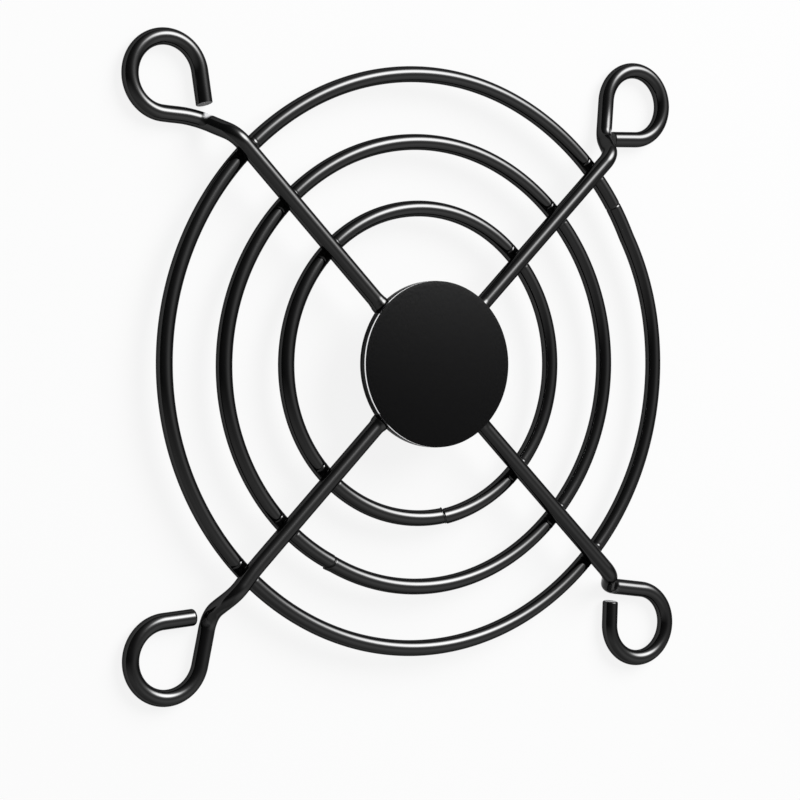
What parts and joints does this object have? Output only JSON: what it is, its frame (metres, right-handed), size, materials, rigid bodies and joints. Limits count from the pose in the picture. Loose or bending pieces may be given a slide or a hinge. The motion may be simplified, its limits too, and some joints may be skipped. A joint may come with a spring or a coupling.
{
  "type": "fan cover",
  "caption": "Welded round-wire finger guard for a small axial fan: rings on four cranked arms with open screw loops, and a round hub disc with a thin brushed plate.",
  "frame": {"origin": "on the hub's axis, in the plane on which the four screw loops seat", "axes": "+Z out of the guard's front, away from the fan; +X and +Y along the sides of the screw square, +Y up and +X right in the picture"},
  "size_m": [0.0585, 0.0586, 0.005],
  "materials": {
    "black_paint": "gloss",
    "brushed_plate": "dark brushed face with a bright bare edge"
  },
  "bodies": {
    "root": {"outer_ring": "black_paint", "middle_ring": "black_paint", "inner_ring": "black_paint", "arm_top_right": "black_paint", "arm_top_left": "black_paint", "arm_bottom_left": "black_paint", "arm_bottom_right": "black_paint", "hub_disc": "black_paint", "hub_plate": "brushed_plate"}
  },
  "joints": []
}
